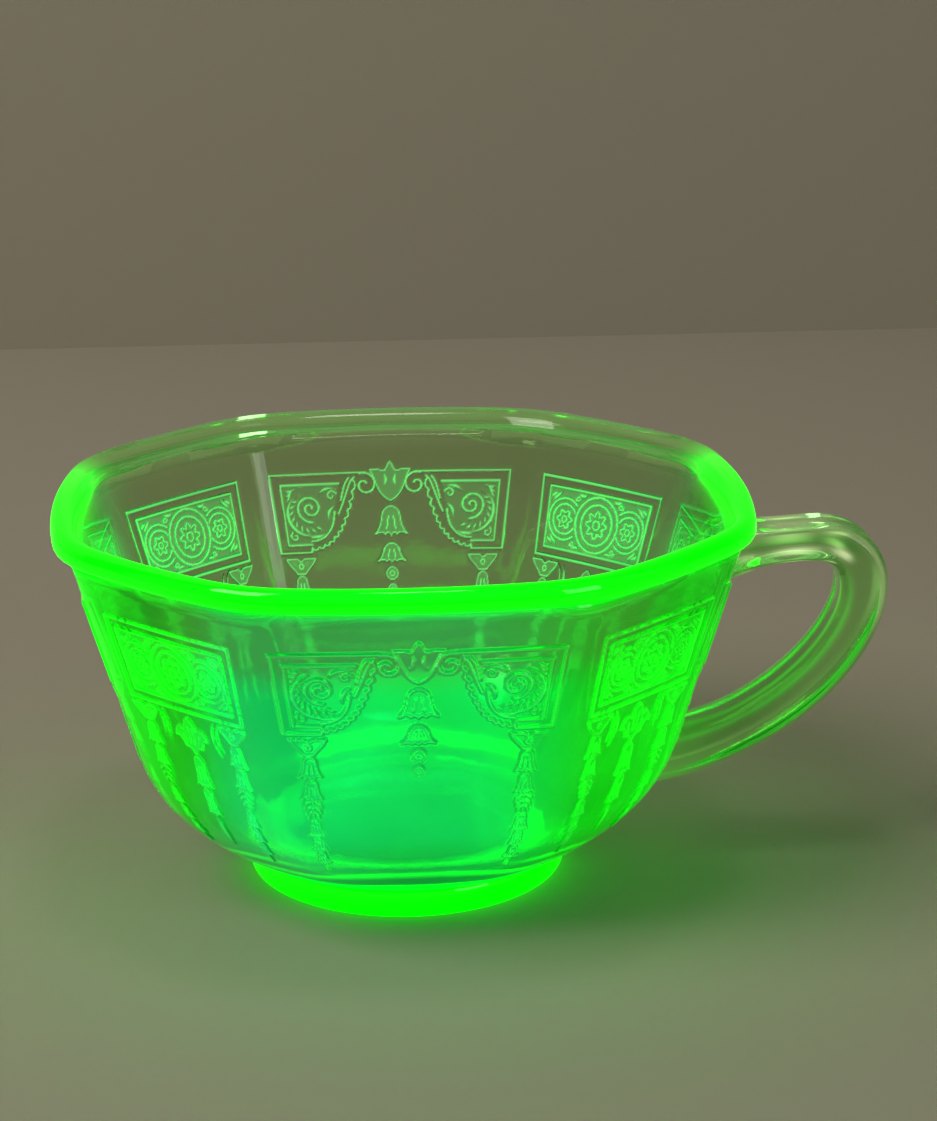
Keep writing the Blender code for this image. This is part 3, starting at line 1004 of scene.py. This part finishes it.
def glass_material(name, clear_tint, absorb):
    """Green glass that glows: teal where it glows a little, pure green where it glows most.

    Each vertex says how strongly it glows, how teal it is, how clear, and how one-sided: a one-sided
    surface doesn't light up the glass behind it. The colour that the surface lets through is painted by
    light as well: it changes from green or teal, where the painted glow or painted shade falls, to
    clear_tint. Pale painted highlights and reflections are added to the glow.
    """
    material = bpy.data.materials.new(name)
    material.use_nodes = True
    material.cycles.emission_sampling = 'NONE'
    tree = material.node_tree
    shader = tree.nodes["Principled BSDF"]
    for key, value in GLASS_SURFACE:
        shader.inputs[key].default_value = value
    place = node(tree, 'ShaderNodeTexCoord').outputs["Object"]
    waves = node(tree, 'ShaderNodeTexNoise', Scale=90.0, Detail=3.0)
    bump = node(tree, 'ShaderNodeBump', Strength=0.12, Distance=0.0006)
    tree.links.new(place, waves.inputs["Vector"])
    tree.links.new(waves.outputs["Fac"], bump.inputs["Height"])
    tree.links.new(bump.outputs["Normal"], shader.inputs["Normal"])
    streaks = node(tree, 'ShaderNodeTexNoise', Scale=35.0, Detail=2.0)
    tree.links.new(place, streaks.inputs["Vector"])
    uneven = mapped(tree, streaks.outputs["Fac"], 0.3, 0.7, 0.75, 1.25)
    backfacing = node(tree, 'ShaderNodeNewGeometry').outputs["Backfacing"]
    hidden = product(tree, backfacing, attribute(tree, "one_sided"))
    shown = mapped(tree, hidden, 0.0, 1.0, 1.0, 0.0)
    glow = product(tree, product(tree, attribute(tree, "glow"), uneven), shown)
    teal = attribute(tree, "teal")
    hued = mixed(tree, teal, colour_steps(tree, glow, GREEN_GLOW), colour_steps(tree, glow, TEAL_GLOW))
    # painted highlights and reflections: a pale colour added to the glow
    emitted = mixed(tree, attribute(tree, "painted_highlight"), hued, HIGHLIGHT_COLOUR, 'ADD')
    tree.links.new(emitted, shader.inputs["Emission Color"])
    # the tint is painted by light too: green or teal where the painted glow or painted shade falls,
    # clear_tint elsewhere
    tint = mixed(tree, attribute(tree, "clear"), mixed(tree, teal, GREEN_TINT, TEAL_TINT), clear_tint)
    tree.links.new(tint, shader.inputs["Base Color"])
    absorption = node(tree, 'ShaderNodeVolumeAbsorption', Color=(*ABSORPTION_COLOUR, 1.0), Density=absorb)
    tree.links.new(absorption.outputs[0], tree.nodes["Material Output"].inputs["Volume"])
    return material


def paint_material():
    material = bpy.data.materials.new("stage_paint")
    material.use_nodes = True
    shader = material.node_tree.nodes["Principled BSDF"]
    shader.inputs["Base Color"].default_value = (*TABLE_PAINT, 1.0)
    shader.inputs["Roughness"].default_value = 0.8
    return material


def one_sided(material):
    """A slightly darker copy of the paint, for a wall that only shows from its front."""
    sided = material.copy()
    sided.name = "stage_wall_paint"
    tree = sided.node_tree
    tree.nodes["Principled BSDF"].inputs["Base Color"].default_value = (*WALL_PAINT, 1.0)
    geometry = node(tree, 'ShaderNodeNewGeometry')
    clear = node(tree, 'ShaderNodeBsdfTransparent')
    chosen = node(tree, 'ShaderNodeMixShader')
    tree.links.new(geometry.outputs["Backfacing"], chosen.inputs[0])
    tree.links.new(tree.nodes["Principled BSDF"].outputs[0], chosen.inputs[1])
    tree.links.new(clear.outputs[0], chosen.inputs[2])
    tree.links.new(chosen.outputs[0], tree.nodes["Material Output"].inputs["Surface"])
    return sided


# ---------------------------------------------------------------- stage

def stage_sheet(name, corners, material):
    mesh = bpy.data.meshes.new(name)
    mesh.from_pydata(corners, [], [(0, 1, 2, 3)])
    mesh.materials.append(material)
    link_piece(mesh)


def make_stage():
    """A pale table top, and a wall behind it that hides nothing from a camera at its back."""
    half_m, wall_y_m, wall_top_m = 6.0, 0.341, 3.0
    paint = paint_material()
    stage_sheet("stage_floor", [(-half_m, -half_m, 0), (half_m, -half_m, 0), (half_m, half_m, 0),
                                (-half_m, half_m, 0)], paint)
    stage_sheet("stage_wall", [(-half_m, wall_y_m, 0), (half_m, wall_y_m, 0),
                               (half_m, wall_y_m, wall_top_m), (-half_m, wall_y_m, wall_top_m)],
                one_sided(paint))


def area_light(name, place, target, size, power, colour):
    data = bpy.data.lights.new(name, 'AREA')
    data.shape = 'SQUARE'
    data.size = size
    data.energy = power
    data.color = colour
    light = bpy.data.objects.new(name, data)
    light.location = place
    light.rotation_euler = (Vector(target) - Vector(place)).to_track_quat('-Z', 'Y').to_euler()
    bpy.context.scene.collection.objects.link(light)


def make_lights():
    area_light("key_light", (-0.55, -0.25, 0.75), (-0.15, 0.34, 0.25), 0.5, 2.8, (1.0, 0.96, 0.88))
    area_light("ceiling_light", (0.03, -0.10, 0.90), (0, 0, 0), 0.14, 0.3, (1.0, 0.98, 0.92))
    area_light("fill_light", (0.62, -0.66, 0.30), (0, 0, 0.03), 0.4, 0.8, (0.92, 0.95, 1.0))
    world = bpy.data.worlds.new("soft_room")
    world.use_nodes = True
    world.node_tree.nodes["Background"].inputs["Color"].default_value = (1.0, 0.96, 0.88, 1.0)
    world.node_tree.nodes["Background"].inputs["Strength"].default_value = 0.15
    bpy.context.scene.world = world


def make_camera():
    """The photograph's view: from 23 degrees above, almost along the handle's side."""
    elevation, turn, roll = math.radians(22.77), math.radians(2.37), math.radians(-0.52)
    distance_m = 0.404
    side_shift_m, up_shift_m = 0.00945, 0.04202
    sensor_width = 36
    focal_in_widths = 3.015
    axis = Vector((AXIS_X * MM, 0, 0))
    away = Vector((-math.sin(turn) * math.cos(elevation), -math.cos(turn) * math.cos(elevation),
                   math.sin(elevation)))
    place = away * distance_m
    side = (-away).cross(Vector((0, 0, 1))).normalized()
    up = side.cross(-away)
    target = side * side_shift_m + up * up_shift_m
    data = bpy.data.cameras.new("camera")
    data.sensor_fit = 'HORIZONTAL'
    data.sensor_width = sensor_width
    data.lens = sensor_width * focal_in_widths
    camera = bpy.data.objects.new("camera", data)
    camera.location = axis + place
    look = (target - place).to_track_quat('-Z', 'Y')
    camera.rotation_mode = 'QUATERNION'
    camera.rotation_quaternion = look @ Quaternion((0, 0, 1), roll)
    bpy.context.scene.collection.objects.link(camera)
    bpy.context.scene.camera = camera


def main():
    make_camera()
    make_stage()
    make_lights()
    pieces = (
        (make_bowl(), "bowl", glass_material("bowl_glass", (0.70, 0.86, 0.52), 60.0)),
        (make_foot(), "foot_ring", glass_material("foot_glass", GREEN_TINT, 120.0)),
        (make_handle(), "handle", glass_material("handle_glass", (0.79, 0.87, 0.60), 40.0)),
    )
    for piece, cad_node, material in pieces:
        piece.data.materials.clear()
        piece.data.materials.append(material)
        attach(piece, "root")
        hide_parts(cad_node)
    scene = bpy.context.scene
    scene.view_settings.view_transform = 'Standard'
    scene.view_settings.look = 'Medium High Contrast'
    scene.cycles.transmission_bounces = 24
    scene.cycles.max_bounces = 24
    scene.cycles.use_denoising = True


main()
